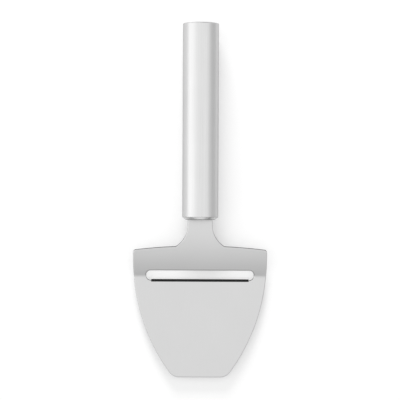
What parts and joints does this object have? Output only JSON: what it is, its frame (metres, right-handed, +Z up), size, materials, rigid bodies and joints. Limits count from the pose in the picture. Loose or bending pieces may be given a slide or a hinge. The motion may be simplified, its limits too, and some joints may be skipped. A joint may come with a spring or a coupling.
{
  "type": "cheese slicer",
  "caption": "Hand cheese slicer: a bent steel blade with a cross slot and a ground cutting lip, its tang held in a round brushed steel tube handle.",
  "frame": {"origin": "on the surface that the tool lies on, at the middle of its length and width", "axes": "+Y along the handle, away from the blade; +X across the blade; +Z up, the handle tube lying on Z = 0 with the blade just clear of it"},
  "size_m": [0.0746, 0.1967, 0.02],
  "materials": {
    "blade_steel": "satin rolled stainless sheet with tumbled edges",
    "tube_steel": "stainless tube, fine brushing along its length",
    "ferrule_steel": "turned stainless",
    "cap_steel": "turned stainless, fine circular lines",
    "pin_steel": "ground stainless pin",
    "core_plastic": "moulded",
    "seal_rubber": "moulded silicone"
  },
  "bodies": {
    "root": {"blade": "blade_steel", "handle_tube": "tube_steel", "front_ferrule": "ferrule_steel", "end_cap": "cap_steel", "tang_pins": "pin_steel", "core_lower": "core_plastic", "core_upper": "core_plastic", "neck_seal": "seal_rubber", "end_cap_seal": "seal_rubber"}
  },
  "joints": []
}
